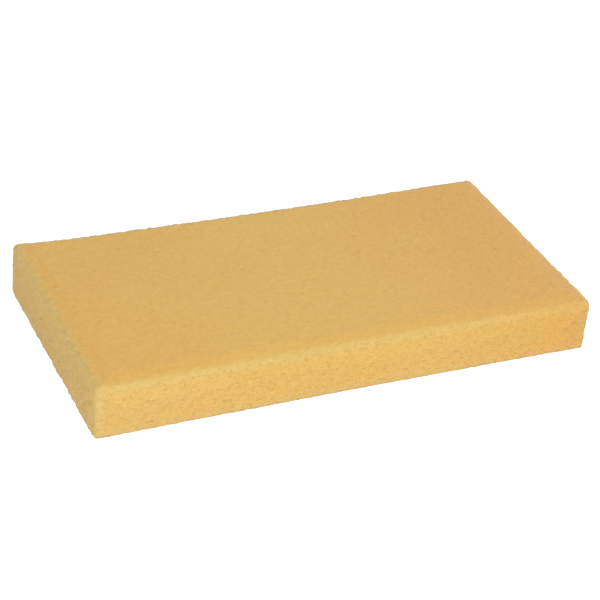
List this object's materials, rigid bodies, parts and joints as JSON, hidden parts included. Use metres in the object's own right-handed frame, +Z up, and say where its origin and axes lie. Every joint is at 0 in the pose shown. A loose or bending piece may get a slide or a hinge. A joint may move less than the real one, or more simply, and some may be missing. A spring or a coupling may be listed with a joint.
{
  "type": "cleaning sponge",
  "caption": "Flat rectangular block of open-cell foam for washing down and wiping, with softened top edges and slightly hollow cut sides.",
  "frame": {"origin": "centre of the underside, on the surface that the sponge lies on", "axes": "+X along the length, +Y from the front long side to the back one, +Z up through the thickness"},
  "size_m": [0.28, 0.1376, 0.0295],
  "materials": {
    "foam": "soft open-cell foam, matte"
  },
  "bodies": {
    "root": {"foam_block": "foam"}
  },
  "joints": []
}
